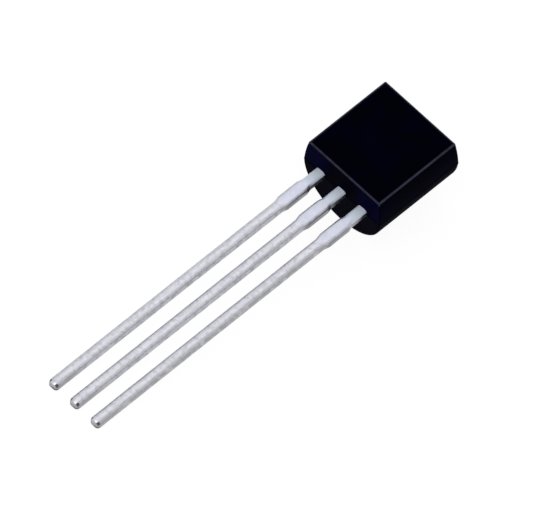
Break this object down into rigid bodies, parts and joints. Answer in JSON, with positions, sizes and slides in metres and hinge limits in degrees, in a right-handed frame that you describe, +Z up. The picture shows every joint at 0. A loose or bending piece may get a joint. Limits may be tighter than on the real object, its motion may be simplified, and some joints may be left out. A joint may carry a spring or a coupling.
{
  "type": "temperature sensor chip",
  "caption": "Leaded temperature sensor chip: a drafted black moulded body, flat in front and half-round behind, on a row of long straight tinned leads.",
  "frame": {"origin": "on the surface that the part lies on, under the middle of its box", "axes": "+Y along the row of leads, from the cut tips to the moulded body; +X across the leads; +Z up, the way the flat face looks"},
  "size_m": [0.0046, 0.0204, 0.0043],
  "materials": {
    "moulding_compound": "matte",
    "tinned_lead": "satin",
    "die_adhesive": "satin",
    "silicon": "polished",
    "bond_wire": "polished"
  },
  "bodies": {
    "root": {"moulded_body": "moulding_compound", "lead_left": "tinned_lead", "lead_centre": "tinned_lead", "lead_right": "tinned_lead", "die_attach": "die_adhesive", "sensor_die": "silicon", "bond_wire_left": "bond_wire", "bond_wire_centre": "bond_wire", "bond_wire_right": "bond_wire"}
  },
  "joints": []
}
